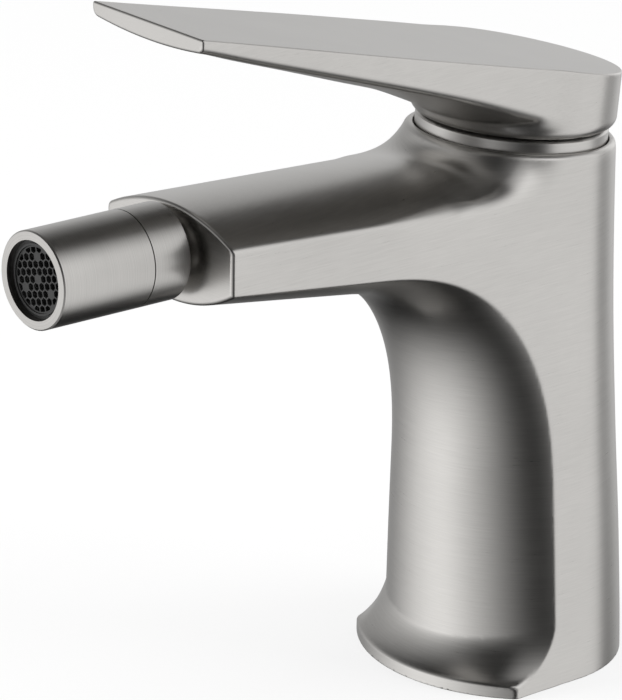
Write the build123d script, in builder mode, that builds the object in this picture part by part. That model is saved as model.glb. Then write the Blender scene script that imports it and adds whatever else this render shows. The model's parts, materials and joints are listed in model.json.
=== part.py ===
from build123d import *
import os
from math import cos, hypot, radians, sin, sqrt, tan

# Bidet mixer with one lever. Millimetres, +Z up, the spout points to -Y.
# The origin is the centre of the foot, at the mouth of the stud hole.

# Sizes shared by the whole mixer
overrun = 3.0
fit_gap = 0.05
slide_gap = 0.1
reach = 101.3
spout_narrowing = 2.6

# Head: the cartridge stands on an axis that leans back
rim_height = 127.16
head_lean = 6.08
rim_radius = 24.15
rim_rounding = 1.0
flare_run = 12.25
flare_drop = 9.3
head_depth = 45.0

# Column and its taper
base_half_width = 28.4
head_half_width = 24.05
side_top = 140.0
side_taper_shares = (1.0, 0.77, 0.41, 0.12, 0.0, 0.0)
column_edge_y = 8.0
column_bulge = 17.5
crown_margin = 1.0
crown_apron = 4.0
crown_depth = 12.0
foot_depth = 20.0
elbow_low = 46.0
elbow_start = 60.0
elbow_hug_share = 0.7
elbow_steps = 6

# Spout section at its end
spout_edge_low = 115.3
spout_belly = 6.3
elbow_edge_low = 109.8
elbow_belly = 7.9
spout_edge_top = 125.8
spout_arch = 5.6
spout_rise = 0.0797
end_rounding = 0.8

# Foot
lip_height = 3.2
lip_edge_y = 19.6
lip_bulge = 11.6
lip_proud = 0.3
flare_edge_height = 12.3
flare_centre_height = 9.0
flare_steps = 4

# Underside of the foot
recess_radius = 20.0
recess_depth = 26.0
stud_boss_radius = 6.5
stud_hole_radius = 3.4
stud_hole_depth = 16.0
inlet_spacing = 26.0
inlet_thread_radius = 4.5
inlet_thread_depth = 12.0
water_radius = 3.2
seal_ring_radius = 23.2
seal_ring_width = 3.0
seal_ring_height = 2.0

# Outlet waterway
outlet_bore_radius = 3.6
outlet_low_height = 74.0
outlet_bend_y = 45.0
outlet_bend_height = 104.0

# Cartridge chamber in the head, heights from the rim along the head axis
chamber_radius = 17.55
chamber_depth = 34.0
nut_thread_radius = 20.0
shoulder_depth = 8.0
collar_seat_depth = 2.0
collar_seat_radius = 22.5

# Collar and retaining nut
collar_radius = 22.2
collar_height = 2.3
collar_crown = 3.5
collar_wall = 2.0
collar_hole_radius = 14.4
collar_shoulder = 1.2
nut_hex_radius = 16.6
nut_hex_height = 3.5

# Cartridge
housing_radius = 17.4
housing_wall = 2.2
neck_radius = 13.9
neck_height = 2.6
rotor_radius = 11.1
rotor_flange_radius = 14.8
rotor_flange_height = 2.5
rotor_top = 2.8
tab_width = 8.0
tab_length = 4.8
tab_inner = 11.5
tab_outer = 13.8
carrier_radius = 12.6
carrier_height = 6.0
disc_height = 4.0
moving_disc_radius = 11.5
fixed_disc_radius = 14.2
fixed_disc_height = 4.5
base_plug_height = 3.0
seal_groove_depth = 1.2
port_radius = 2.6
port_side = 7.0
port_front = 4.4
outlet_port_back = 5.6
port_seal_width = 1.0
port_seal_height = 0.9
mixing_recess_depth = 2.0
mixing_recess_radius = 4.7
mixing_recess_back = 3.3
mixing_recess_spread = 9.4

# Lever stem and its fulcrum
fulcrum_depth = 2.0
fulcrum_back = 2.0
pin_radius = 1.5
pin_length = 18.0
stem_width = 7.0
stem_neck_thickness = 3.8
stem_cover = 4.49
stem_tip_radius = 2.4
lever_arm = 12.6
lift_limit = 11.0

# Handle
handle_gap = 3.0
skirt_radius = 23.0
skirt_inner_radius = 22.45
hub_radius = 23.7
hub_round = 2.7
hub_top_radius = 22.9
hub_top_back = 1.3
hub_margin = 5.01
handle_reach = 107.6
handle_rise = 18.99
handle_slope = 0.2585
tip_half_width = 18.6
blade_half_width = 22.5
tip_side = 3.1
hub_side = 13.8
blade_bulge = 7.2
cavity_step = 4.5
cavity_radius = 20.0
cavity_height = 8.0
boss_drop = 2.0
boss_radius = 8.0
screw_radius = 2.4
screw_length = 8.0
screw_height = 8.5
screw_socket_radius = 1.25
plug_radius = 3.0
plug_length = 2.0
plug_head_height = 0.6
relief_start = 15.5
relief_angle = 12.0

# Blade stations, evenly spaced from the hub to the tip: width, side height and bulge below
blade_shares = (
    (0.82, 1.0, 0.7),
    (1.0, 0.766, 1.0),
    (0.95, 0.575, 0.72),
    (0.88, 0.439, 0.47),
    (0.67, 0.327, 0.4),
    (0.41, 0.224, 0.32),
    (0.14, 0.121, 0.25),
    (0.0, 0.0, 0.18),
)

# Nozzle with its ball joint, sizes along the nozzle axis from the ball centre
nozzle_rise = 1.66
ball_height = 121.04
ball_ahead = 6.5
ball_radius = 8.2
liner_wall = 0.7
liner_back = 2.2
liner_front = 1.6
ring_back = 4.0
ring_length = 10.2
split_gap = 0.3
split_depth = 0.6
nozzle_radius = 11.0
nozzle_front = 31.4
ring_chamfer = 0.6
mouth_chamfer = 0.3
thread_radius = 9.9
thread_back = 3.0
ring_lip = 0.35
cup_back = 3.2
cup_length = 3.0
cup_radius = 8.3
nipple_stem_radius = 5.6
nipple_bore_radius = 3.6
nipple_thread_radius = 6.6
nipple_thread_length = 9.0
nipple_seal_length = 1.5
cup_shoulder_radius = 6.2
nozzle_bore_radius = 5.0
mouth_radius = 8.89
mouth_depth = 14.0
aerator_recess = 1.2
aerator_length = 9.0
aerator_wall = 1.5
screen_radius = 7.5
screen_height = 1.2
screen_recess = 0.3
screen_rim = 0.35
screen_turn = 15.7
housing_step = 0.45
cell_pitch = 1.9
closed_cells = ((0, 0), (-1, 3), (-2, -1), (3, -2))
cell_wall = 0.32
washer_height = 1.6
washer_hole_radius = 6.2

# Placement
lean = radians(head_lean)
head_axis_dir = Vector(0, sin(lean), cos(lean))
head_back_dir = Vector(0, cos(lean), -sin(lean))
head_centre = Vector(0, 0, rim_height)
head_axis = Axis(head_centre, head_axis_dir)
head_side = Plane(origin=head_centre, x_dir=head_back_dir, z_dir=(1, 0, 0))
head_top = Plane(origin=head_centre, x_dir=(1, 0, 0), z_dir=head_axis_dir)

rise = radians(nozzle_rise)
nozzle_dir = Vector(0, -cos(rise), sin(rise))
ball_centre = Vector(0, -reach - ball_ahead, ball_height)
nozzle_axis = Axis(ball_centre, nozzle_dir)
nozzle_side = Plane(origin=ball_centre, x_dir=(0, sin(rise), cos(rise)), z_dir=(1, 0, 0))
nozzle_face = Plane(origin=ball_centre, x_dir=(1, 0, 0), z_dir=nozzle_dir)
spout_face = Plane(origin=(0, -reach, ball_height), x_dir=(1, 0, 0), z_dir=(0, -1, 0))

# Heights inside the cartridge, from the rim along the head axis
flange_top = -shoulder_depth - housing_wall - slide_gap
flange_bottom = flange_top - rotor_flange_height
carrier_top = flange_bottom - slide_gap
carrier_bottom = carrier_top - carrier_height
moving_bottom = carrier_bottom - disc_height
fixed_top = moving_bottom - fit_gap
fixed_bottom = fixed_top - fixed_disc_height
plug_top = fixed_bottom - port_seal_height / 2
cartridge_bottom = -chamber_depth + port_seal_height / 2
tip_height = -fulcrum_depth - lever_arm

# Heights of the handle over the rim, and of its top over the base
stem_top = handle_rise - stem_cover
hub_height = handle_rise + hub_margin
handle_top_height = rim_height + handle_rise


def profile(plane, points):
    """A closed outline through the points, on the given plane."""
    with BuildSketch(plane) as outline:
        with BuildLine():
            Polyline(*points, close=True)
        make_face()
    return outline.sketch


def tube(inner, outer, low, high):
    """The outline of a ring: radii first, then heights along the axis."""
    return [(inner, low), (outer, low), (outer, high), (inner, high)]


def head_point(across, back, height):
    """A point given by its place in the head: across, back and along the axis."""
    return head_centre + Vector(across, 0, 0) + head_back_dir * back + head_axis_dir * height


def bore_between(start, finish, radius):
    """A round passage from one point to another."""
    run = finish - start
    passage = Plane(origin=start, z_dir=run)
    with BuildPart(mode=Mode.PRIVATE) as bore:
        with BuildSketch(passage):
            Circle(radius)
        extrude(amount=run.length)
        with Locations(finish):
            Sphere(radius)
    return bore.part


def side_half_width(height):
    """Half the width of the column at a height, before the spout narrows it."""
    steps = len(side_taper_shares) - 1
    place = min(max(height / side_top, 0), 1) * steps
    step = min(int(place), steps - 1)
    low, high = side_taper_shares[step : step + 2]
    return head_half_width + (base_half_width - head_half_width) * (low + (high - low) * (place - step))


def half_width(forward, height):
    """Half the width of the body, forward of the column axis and above the base."""
    return side_half_width(height) - spout_narrowing * forward / reach


def side_section(height, half):
    """The plan of the body at a height: straight sides and a round back."""
    with BuildSketch(Plane.XY.offset(height)) as outline:
        with BuildLine():
            Line((half, 0), (half - spout_narrowing, -reach))
            Line((half - spout_narrowing, -reach), (-half + spout_narrowing, -reach))
            Line((-half + spout_narrowing, -reach), (-half, 0))
            ThreePointArc((-half, 0), (0, half), (half, 0))
        make_face()
    return outline.sketch


def crown_section(edge, centre, depth):
    """A section of the bulging front: edge and centre are (forward, height) pairs."""
    back = centre[0] - edge[0]
    rise_to_centre = centre[1] - edge[1]
    bulge = hypot(back, rise_to_centre)
    out = Vector(0, -back / bulge, rise_to_centre / bulge)
    half = half_width(edge[0], edge[1])
    radius = (half**2 + bulge**2) / (2 * bulge)
    wide = min(half + crown_margin, radius - fit_gap)
    low = bulge - radius + sqrt(radius**2 - wide**2)
    across = Vector(1, 0, 0)
    plane = Plane(origin=(0, -edge[0], edge[1]), x_dir=across, z_dir=across.cross(out))
    with BuildSketch(plane) as outline:
        with BuildLine():
            ThreePointArc((-wide, low), (0, bulge), (wide, low))
            Line((wide, low), (wide + crown_apron, -depth))
            Line((wide + crown_apron, -depth), (-wide - crown_apron, -depth))
            Line((-wide - crown_apron, -depth), (-wide, low))
        make_face()
    return outline.sketch


def bend_point(start, corner, finish, share):
    """A point on the curve that hugs the corner between start and finish."""
    first = [a + elbow_hug_share * (b - a) for a, b in zip(start, corner)]
    second = [a + elbow_hug_share * (b - a) for a, b in zip(finish, corner)]
    rest = 1 - share
    weights = (rest**3, 3 * rest**2 * share, 3 * rest * share**2, share**3)
    columns = zip(start, first, second, finish)
    return tuple(sum(w * v for w, v in zip(weights, column)) for column in columns)


# Front stations of the body, as (forward, height) of the side edge and of the centre line
edge_slope = (spout_edge_low - elbow_edge_low) / (reach - elbow_start)
belly_low = spout_edge_low - spout_belly
elbow_low_centre = elbow_edge_low - elbow_belly
centre_slope = (belly_low - elbow_low_centre) / (reach - elbow_start)
column_front = column_edge_y + column_bulge
edge_corner = (column_edge_y, elbow_edge_low - edge_slope * (elbow_start - column_edge_y))
centre_corner = (column_front, elbow_low_centre - centre_slope * (elbow_start - column_front))

spout_sections = [
    crown_section(
        (reach + overrun, spout_edge_low + edge_slope * overrun),
        (reach + overrun, belly_low + centre_slope * overrun),
        crown_depth,
    ),
    crown_section((elbow_start, elbow_edge_low), (elbow_start, elbow_low_centre), crown_depth),
]
elbow_sections = [
    crown_section(
        bend_point((elbow_start, elbow_edge_low), edge_corner, (column_edge_y, elbow_low), step / elbow_steps),
        bend_point((elbow_start, elbow_low_centre), centre_corner, (column_front, elbow_low), step / elbow_steps),
        crown_depth,
    )
    for step in range(elbow_steps + 1)
]
flare_sections = []
for step in range(flare_steps + 1):
    turn = radians(90 * step / flare_steps)
    edge_out = (lip_edge_y - lip_proud - column_edge_y) * (1 - cos(turn))
    centre_out = (lip_edge_y + lip_bulge - lip_proud - column_front) * (1 - cos(turn))
    flare_sections.append(
        crown_section(
            (column_edge_y + edge_out, lip_height + flare_edge_height * (1 - sin(turn))),
            (column_front + centre_out, lip_height + flare_centre_height * (1 - sin(turn))),
            foot_depth,
        )
    )

# Everything behind and above the bulging front
with BuildPart() as front_block:
    loft(spout_sections, ruled=True)
    loft(elbow_sections)
    loft([elbow_sections[-1], flare_sections[0]], ruled=True)
    loft(flare_sections)
    loft(
        [
            crown_section((lip_edge_y, height), (lip_edge_y + lip_bulge, height), foot_depth)
            for height in (lip_height, -overrun)
        ],
        ruled=True,
    )
    with BuildSketch(Plane.YZ):
        with BuildLine():
            Polyline(
                (-reach - overrun, spout_edge_low + spout_belly / 2),
                (-elbow_start, elbow_edge_low + elbow_belly / 2),
                (-column_front - overrun, elbow_edge_low - elbow_belly / 2),
                (-column_front / 2, elbow_low + elbow_low_centre / 2 - overrun),
                (-overrun, rim_height / 2),
                (-overrun, -overrun),
                (base_half_width + overrun, -overrun),
                (base_half_width + overrun, rim_height + head_depth),
                (-reach - overrun, rim_height + head_depth),
                close=True,
            )
        make_face()
    extrude(amount=base_half_width + crown_apron, both=True)

# The top of the spout, carried back through the head
arch_front = spout_edge_top + spout_rise * overrun
arch_run = reach + overrun + base_half_width + overrun
arch_back = arch_front - spout_rise * arch_run
arch_sections = [
    crown_section((reach + overrun, arch_front), (reach + overrun, arch_front + spout_arch), arch_front + overrun),
    crown_section(
        (reach + overrun - arch_run, arch_back),
        (reach + overrun - arch_run, arch_back + spout_arch),
        arch_back + overrun,
    ),
]

# The flared head, round about its own axis
flare_outer = rim_radius + flare_run
with BuildPart() as head_block:
    with BuildSketch(head_side):
        with BuildLine():
            TangentArc((flare_outer, -flare_drop), (rim_radius, 0), tangent=(-1, 0))
            Polyline((rim_radius, 0), (0, 0), (0, -head_depth), (flare_outer, -head_depth), (flare_outer, -flare_drop))
        make_face()
    revolve(axis=head_axis)
    rim_edge = edges().filter_by(GeomType.CIRCLE).sort_by(head_axis)[-1]
    fillet(rim_edge, radius=rim_rounding)

# Everything below the top of the spout and inside the flared head
with BuildPart() as top_block:
    loft(arch_sections, ruled=True)
    add(head_block.part)

# Passages inside the body
inlet_top = recess_depth + inlet_thread_depth
outlet_well = head_point(0, outlet_port_back, -chamber_depth)
outlet_low = Vector(0, outlet_well.Y, outlet_low_height)
outlet_bend = Vector(0, -outlet_bend_y, outlet_bend_height)
outlet_mouth = Vector(0, -reach + nipple_thread_length, ball_height)

# The cast body: foot, column, spout and head in one piece
with BuildPart() as body_casting:
    side_heights = [side_top * step / (len(side_taper_shares) - 1) for step in range(len(side_taper_shares))]
    loft([side_section(height, side_half_width(height)) for height in side_heights])
    add(front_block.part, mode=Mode.INTERSECT)
    add(top_block.part, mode=Mode.INTERSECT)
    # chamber for the cartridge, thread for its nut, seat for the collar
    revolve(profile(head_side, tube(0, chamber_radius, -chamber_depth, 0)), axis=head_axis, mode=Mode.SUBTRACT)
    revolve(
        profile(head_side, tube(0, nut_thread_radius, -shoulder_depth, 0)), axis=head_axis, mode=Mode.SUBTRACT
    )
    revolve(
        profile(head_side, tube(0, collar_seat_radius, -collar_seat_depth, overrun)),
        axis=head_axis,
        mode=Mode.SUBTRACT,
    )
    # recess under the foot, around the boss for the stud
    with BuildSketch():
        Circle(recess_radius)
        Circle(stud_boss_radius, mode=Mode.SUBTRACT)
    extrude(amount=recess_depth, mode=Mode.SUBTRACT)
    with Locations(Location((0, 0, 0), (180, 0, 0))):
        Hole(stud_hole_radius, stud_hole_depth)
    with BuildSketch():
        Circle(seal_ring_radius + seal_ring_width / 2)
        Circle(seal_ring_radius - seal_ring_width / 2, mode=Mode.SUBTRACT)
    extrude(amount=seal_ring_height, mode=Mode.SUBTRACT)
    # threaded inlets and their passages up to the cartridge
    with BuildSketch(Plane.XY.offset(recess_depth)):
        with GridLocations(inlet_spacing, 0, 2, 1):
            Circle(inlet_thread_radius)
    extrude(amount=inlet_thread_depth, mode=Mode.SUBTRACT)
    for side in (-1, 1):
        inlet_end = head_point(side * port_side, -port_front, -chamber_depth)
        inlet_start = Vector(side * inlet_spacing / 2, 0, inlet_top)
        add(bore_between(inlet_start, inlet_end, water_radius), mode=Mode.SUBTRACT)
    # the way out to the nozzle
    add(bore_between(outlet_well, outlet_low, outlet_bore_radius), mode=Mode.SUBTRACT)
    add(bore_between(outlet_low, outlet_bend, outlet_bore_radius), mode=Mode.SUBTRACT)
    add(bore_between(outlet_bend, outlet_mouth, outlet_bore_radius), mode=Mode.SUBTRACT)
    with BuildSketch(spout_face):
        Circle(nipple_thread_radius)
    extrude(amount=-nipple_thread_length, mode=Mode.SUBTRACT)
    fillet(faces().sort_by(Axis.Y)[0].outer_wire().edges(), radius=end_rounding)

# Rubber ring that seals the foot on the ceramic
with BuildPart() as base_seal:
    with BuildSketch():
        Circle(seal_ring_radius + seal_ring_width / 2 - fit_gap)
        Circle(seal_ring_radius - seal_ring_width / 2 + fit_gap, mode=Mode.SUBTRACT)
    extrude(amount=seal_ring_height)

# Plastic shell of the cartridge: shoulder, neck and wall
with BuildPart() as cartridge_housing:
    revolve(
        profile(
            head_side,
            [
                (rotor_radius + slide_gap, neck_height),
                (neck_radius, neck_height),
                (neck_radius, -shoulder_depth),
                (housing_radius, -shoulder_depth),
                (housing_radius, fixed_bottom - base_plug_height),
                (housing_radius - housing_wall, fixed_bottom - base_plug_height),
                (housing_radius - housing_wall, -shoulder_depth - housing_wall),
                (rotor_radius + slide_gap, -shoulder_depth - housing_wall),
            ],
        ),
        axis=head_axis,
    )

# Places of the three water ports, across and back
port_places = [(-port_side, -port_front), (port_side, -port_front), (0, outlet_port_back)]
disc_seal_radius = port_radius + port_seal_width
port_seal_radius = outlet_bore_radius + port_seal_width

# Plug that closes the shell from below
with BuildPart() as cartridge_base:
    with BuildSketch(head_top.offset(plug_top)):
        Circle(housing_radius - housing_wall - fit_gap)
    extrude(amount=fixed_bottom - base_plug_height - plug_top)
    with BuildSketch(head_top.offset(fixed_bottom - base_plug_height)):
        Circle(housing_radius)
    extrude(amount=cartridge_bottom - fixed_bottom + base_plug_height)
    with BuildSketch(head_top.offset(plug_top)):
        with Locations(*port_places):
            Circle(port_radius)
    extrude(amount=cartridge_bottom - plug_top, mode=Mode.SUBTRACT)
    with BuildSketch(head_top.offset(plug_top)):
        with Locations(*port_places):
            Circle(disc_seal_radius)
    extrude(amount=-seal_groove_depth, mode=Mode.SUBTRACT)
    with BuildSketch(head_top.offset(cartridge_bottom)):
        with Locations(*port_places):
            Circle(port_seal_radius)
    extrude(amount=seal_groove_depth, mode=Mode.SUBTRACT)

# Rubber rings round the ports, above and below the plug
with BuildPart() as disc_seals:
    with BuildSketch(head_top.offset(plug_top - seal_groove_depth)):
        with Locations(*port_places):
            Circle(disc_seal_radius)
            Circle(port_radius, mode=Mode.SUBTRACT)
    extrude(amount=fixed_bottom - plug_top + seal_groove_depth)

with BuildPart() as port_seals:
    with BuildSketch(head_top.offset(-chamber_depth)):
        with Locations(*port_places):
            Circle(port_seal_radius)
            Circle(outlet_bore_radius, mode=Mode.SUBTRACT)
    extrude(amount=cartridge_bottom + chamber_depth + seal_groove_depth)

# Ceramic discs
with BuildPart() as fixed_disc:
    with BuildSketch(head_top.offset(fixed_bottom)):
        Circle(fixed_disc_radius)
        with Locations(*port_places):
            Circle(port_radius, mode=Mode.SUBTRACT)
    extrude(amount=fixed_disc_height)

with BuildPart() as moving_disc:
    with BuildSketch(head_top.offset(moving_bottom)):
        Circle(moving_disc_radius)
    extrude(amount=disc_height)
    with BuildSketch(head_top.offset(moving_bottom)):
        with Locations((0, mixing_recess_back)):
            SlotCenterToCenter(mixing_recess_spread, 2 * mixing_recess_radius)
    extrude(amount=mixing_recess_depth, mode=Mode.SUBTRACT)

# Carrier that the stem's tip pushes, keyed to the rotor by two flats
pocket_width = stem_width + 2 * slide_gap
with BuildPart() as disc_carrier:
    with BuildSketch(head_top.offset(carrier_bottom)):
        Circle(carrier_radius)
        Rectangle(2 * (tab_inner - slide_gap), 2 * carrier_radius, mode=Mode.INTERSECT)
    extrude(amount=carrier_height)
    with BuildSketch(head_top.offset(carrier_top)):
        with Locations((0, fulcrum_back)):
            Rectangle(pocket_width, 2 * (stem_tip_radius + slide_gap))
    extrude(amount=tip_height - stem_tip_radius - slide_gap - carrier_top, mode=Mode.SUBTRACT)

# Rotor that turns in the neck and carries the fulcrum pin
pin_place = head_point(0, fulcrum_back, -fulcrum_depth)
pin_plane = Plane(origin=pin_place, x_dir=head_back_dir, z_dir=(1, 0, 0))
slot_length = stem_width + 2 * (rotor_top + fulcrum_depth) * tan(radians(lift_limit)) + 4 * slide_gap
with BuildPart() as cartridge_rotor:
    with BuildSketch(head_top.offset(flange_bottom)):
        Circle(rotor_flange_radius)
    extrude(amount=rotor_flange_height)
    with BuildSketch(head_top.offset(flange_top)):
        Circle(rotor_radius)
    extrude(amount=rotor_top - flange_top)
    with BuildSketch(head_top.offset(flange_bottom)):
        with GridLocations(tab_inner + tab_outer, 0, 2, 1):
            Rectangle(tab_outer - tab_inner, tab_width)
    extrude(amount=-tab_length)
    with BuildSketch(head_top.offset(flange_bottom)):
        with Locations((0, fulcrum_back)):
            Rectangle(pocket_width, slot_length)
    extrude(amount=rotor_top - flange_bottom, mode=Mode.SUBTRACT)
    with BuildSketch(pin_plane):
        Circle(pin_radius + fit_gap / 2)
    extrude(amount=pin_length / 2 + fit_gap, both=True, mode=Mode.SUBTRACT)

with BuildPart() as fulcrum_pin:
    with BuildSketch(pin_plane):
        Circle(pin_radius)
    extrude(amount=pin_length / 2, both=True)

# Lever stem: square head, thin neck and a round tip across
with BuildPart() as lever_stem:
    with BuildSketch(head_top.offset(-fulcrum_depth - stem_width / 2)):
        with Locations((0, fulcrum_back)):
            Rectangle(stem_width, stem_width)
    extrude(amount=stem_top + fulcrum_depth + stem_width / 2)
    with BuildSketch(head_top.offset(tip_height)):
        with Locations((0, fulcrum_back)):
            Rectangle(stem_width, stem_neck_thickness)
    extrude(amount=lever_arm)
    with BuildSketch(pin_plane):
        with Locations((0, -lever_arm)):
            Circle(stem_tip_radius)
    extrude(amount=stem_width / 2, both=True)
    with BuildSketch(pin_plane):
        Circle(pin_radius + fit_gap)
    extrude(amount=stem_width, both=True, mode=Mode.SUBTRACT)

# Nut that holds the cartridge down
with BuildPart() as retaining_nut:
    with BuildSketch(head_top.offset(-shoulder_depth)):
        Circle(nut_thread_radius - fit_gap)
    extrude(amount=shoulder_depth - collar_seat_depth - slide_gap)
    with BuildSketch(head_top.offset(-collar_seat_depth - slide_gap)):
        RegularPolygon(nut_hex_radius, 6)
    extrude(amount=nut_hex_height)
    with BuildSketch(head_top.offset(-shoulder_depth)):
        Circle(neck_radius + slide_gap)
    extrude(amount=shoulder_depth + nut_hex_height, mode=Mode.SUBTRACT)

# Collar: a turned cover over the nut
with BuildPart() as collar_ring:
    revolve(
        profile(
            head_side,
            [
                (collar_radius, -collar_seat_depth),
                (collar_radius, collar_height),
                (collar_radius - collar_shoulder, collar_crown - fit_gap),
                (collar_hole_radius, collar_crown),
                (collar_hole_radius, collar_height - fit_gap),
                (collar_radius - collar_wall, collar_height - collar_shoulder / 2),
                (collar_radius - collar_wall, -collar_seat_depth),
            ],
        ),
        axis=head_axis,
    )

# Blade of the handle, from the middle of the hub to the tip
blade_faces = []
for station, (width_share, side_share, bulge_share) in enumerate(blade_shares):
    forward = handle_reach * station / (len(blade_shares) - 1)
    half = tip_half_width + (blade_half_width - tip_half_width) * width_share
    side = tip_side + (hub_side - tip_side) * side_share
    bulge = blade_bulge * bulge_share
    top = handle_top_height + handle_slope * forward
    with BuildSketch(Plane(origin=(0, -forward, top), x_dir=(1, 0, 0), z_dir=(0, -1, 0))) as outline:
        with BuildLine():
            ThreePointArc((-half, -side), (0, -side - bulge), (half, -side))
            Line((half, -side), (half, overrun))
            Line((half, overrun), (-half, overrun))
            Line((-half, overrun), (-half, -side))
        make_face()
    blade_faces.append(outline.sketch)

hub_low = handle_gap + hub_round
cavity_top = handle_gap + cavity_height
with BuildPart() as lever_handle:
    loft(blade_faces)
    with BuildSketch(head_top.offset(hub_low)):
        Circle(hub_radius)
    with BuildSketch(head_top.offset(hub_height)):
        with Locations((0, hub_top_back)):
            Circle(hub_top_radius)
    loft()
    with BuildSketch(head_side):
        with BuildLine():
            TangentArc((hub_radius, hub_low), (skirt_radius, handle_gap), tangent=(0, -1))
            Polyline((skirt_radius, handle_gap), (0, handle_gap), (0, hub_low), (hub_radius, hub_low))
        make_face()
    revolve(axis=head_axis)
    # nothing of the blade reaches below the skirt
    with BuildSketch(head_top.offset(handle_gap)):
        Rectangle(4 * handle_reach, 4 * handle_reach)
    extrude(amount=-head_depth, mode=Mode.SUBTRACT)
    # the top is one flat cut through blade and hub
    with BuildSketch(Plane(origin=(0, 0, handle_top_height), x_dir=(1, 0, 0), z_dir=(0, handle_slope, 1))):
        Rectangle(4 * handle_reach, 4 * handle_reach)
    extrude(amount=head_depth, mode=Mode.SUBTRACT)
    # hollow under the hub, with a boss for the stem
    revolve(
        profile(
            head_side,
            [
                (0, handle_gap),
                (skirt_inner_radius, handle_gap),
                (skirt_inner_radius, handle_gap + cavity_step),
                (cavity_radius, handle_gap + cavity_step),
                (cavity_radius, cavity_top),
                (0, cavity_top),
            ],
        ),
        axis=head_axis,
        mode=Mode.SUBTRACT,
    )
    with BuildSketch(head_top.offset(handle_gap + boss_drop)):
        with Locations((0, fulcrum_back)):
            Circle(boss_radius)
    extrude(amount=cavity_height - boss_drop)
    with BuildSketch(head_top.offset(handle_gap + boss_drop)):
        with Locations((0, fulcrum_back)):
            Rectangle(stem_width + 2 * fit_gap, stem_width + 2 * fit_gap)
    extrude(amount=stem_top - handle_gap - boss_drop + fit_gap, mode=Mode.SUBTRACT)
    # way in for the screw, and the hole for its cover
    with BuildSketch(Plane(origin=head_point(0, fulcrum_back, screw_height), z_dir=head_back_dir)):
        Circle(screw_radius + fit_gap)
    extrude(amount=hub_radius + overrun, mode=Mode.SUBTRACT)
    with BuildSketch(Plane(origin=head_point(0, cavity_radius, screw_height), z_dir=head_back_dir)):
        Circle(plug_radius + fit_gap)
    extrude(amount=hub_radius, mode=Mode.SUBTRACT)
    # the back of the skirt is cut up, so that it clears the body when the lever is lifted
    relief_run = hub_radius + overrun - relief_start
    relief_rise = relief_run * tan(radians(relief_angle))
    with BuildSketch(head_side):
        with BuildLine():
            Polyline(
                (relief_start, handle_gap),
                (relief_start + relief_run, handle_gap + relief_rise),
                (relief_start + relief_run, 0),
                (relief_start, 0),
                close=True,
            )
        make_face()
    extrude(amount=hub_radius + overrun, both=True, mode=Mode.SUBTRACT)

# Grub screw that clamps the handle on the stem
screw_start = fulcrum_back + stem_width / 2 + fit_gap
with BuildPart() as handle_screw:
    with BuildSketch(Plane(origin=head_point(0, screw_start, screw_height), z_dir=head_back_dir)):
        Circle(screw_radius)
    extrude(amount=screw_length)
    with BuildSketch(Plane(origin=head_point(0, screw_start + screw_length, screw_height), z_dir=head_back_dir)):
        RegularPolygon(screw_socket_radius, 6)
    extrude(amount=-screw_length / 2, mode=Mode.SUBTRACT)

# Cover of the screw hole, at the back of the hub
plug_start = hub_radius - plug_length
with BuildPart() as screw_cover:
    with BuildSketch(Plane(origin=head_point(0, plug_start, screw_height), z_dir=head_back_dir)):
        Circle(plug_radius)
    extrude(amount=plug_length)
    fillet(faces().sort_by(Axis.Y)[-1].edges(), radius=plug_head_height)

# Ball fitting screwed into the end of the spout
with BuildPart() as ball_nipple:
    with BuildSketch(spout_face):
        Circle(nipple_stem_radius)
    extrude(amount=ball_ahead)
    with Locations(ball_centre):
        Sphere(ball_radius)
    with BuildSketch(spout_face):
        Circle(nipple_thread_radius - fit_gap)
    extrude(amount=-nipple_thread_length + nipple_seal_length)
    with BuildSketch(spout_face.offset(-nipple_thread_length + nipple_seal_length)):
        Circle(nipple_bore_radius)
    extrude(amount=nipple_thread_length + ball_ahead + ball_radius, mode=Mode.SUBTRACT)

with BuildPart() as nipple_seal:
    with BuildSketch(spout_face.offset(-nipple_thread_length)):
        Circle(nipple_thread_radius - fit_gap)
        Circle(nipple_bore_radius, mode=Mode.SUBTRACT)
    extrude(amount=nipple_seal_length)

# Slippery liner that floats between the ball and the ring
pocket_radius = ball_radius + liner_wall + 2 * fit_gap
with BuildPart() as ball_liner:
    with Locations(Location(ball_centre)):
        Sphere(pocket_radius - fit_gap)
        Sphere(ball_radius + fit_gap, mode=Mode.SUBTRACT)
    with BuildSketch(nozzle_face.offset(-liner_back)):
        Circle(2 * ball_radius)
    extrude(amount=liner_back + liner_front, mode=Mode.INTERSECT)

# Rear ring of the nozzle: it holds the ball and screws on the barrel
ring_front = ring_length - ring_back
lip_back = ring_back - ring_lip
with BuildPart() as ball_ring:
    revolve(
        profile(
            nozzle_side,
            [
                (0, -ring_back),
                (nozzle_radius - ring_chamfer, -ring_back),
                (nozzle_radius, -ring_back + ring_chamfer),
                (nozzle_radius, ring_front),
                (thread_radius, ring_front),
                (thread_radius, thread_back),
                (0, thread_back),
            ],
        ),
        axis=nozzle_axis,
    )
    with Locations(Location(ball_centre)):
        Sphere(ball_radius + fit_gap, mode=Mode.SUBTRACT)
    with BuildPart(mode=Mode.PRIVATE) as pocket:
        with Locations(Location(ball_centre)):
            Sphere(pocket_radius)
        with BuildSketch(nozzle_face.offset(-lip_back)):
            Circle(2 * ball_radius)
        extrude(amount=lip_back + ring_front, mode=Mode.INTERSECT)
    add(pocket.part, mode=Mode.SUBTRACT)

# Seat cup in front of the ball
cup_front = cup_back + cup_length
with BuildPart() as seat_cup:
    revolve(profile(nozzle_side, tube(0, cup_radius, cup_back, cup_front)), axis=nozzle_axis)
    with Locations(Location(ball_centre)):
        Sphere(ball_radius + fit_gap, mode=Mode.SUBTRACT)
    with BuildSketch(nozzle_face):
        Circle(nipple_bore_radius)
    extrude(amount=cup_front, mode=Mode.SUBTRACT)

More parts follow.
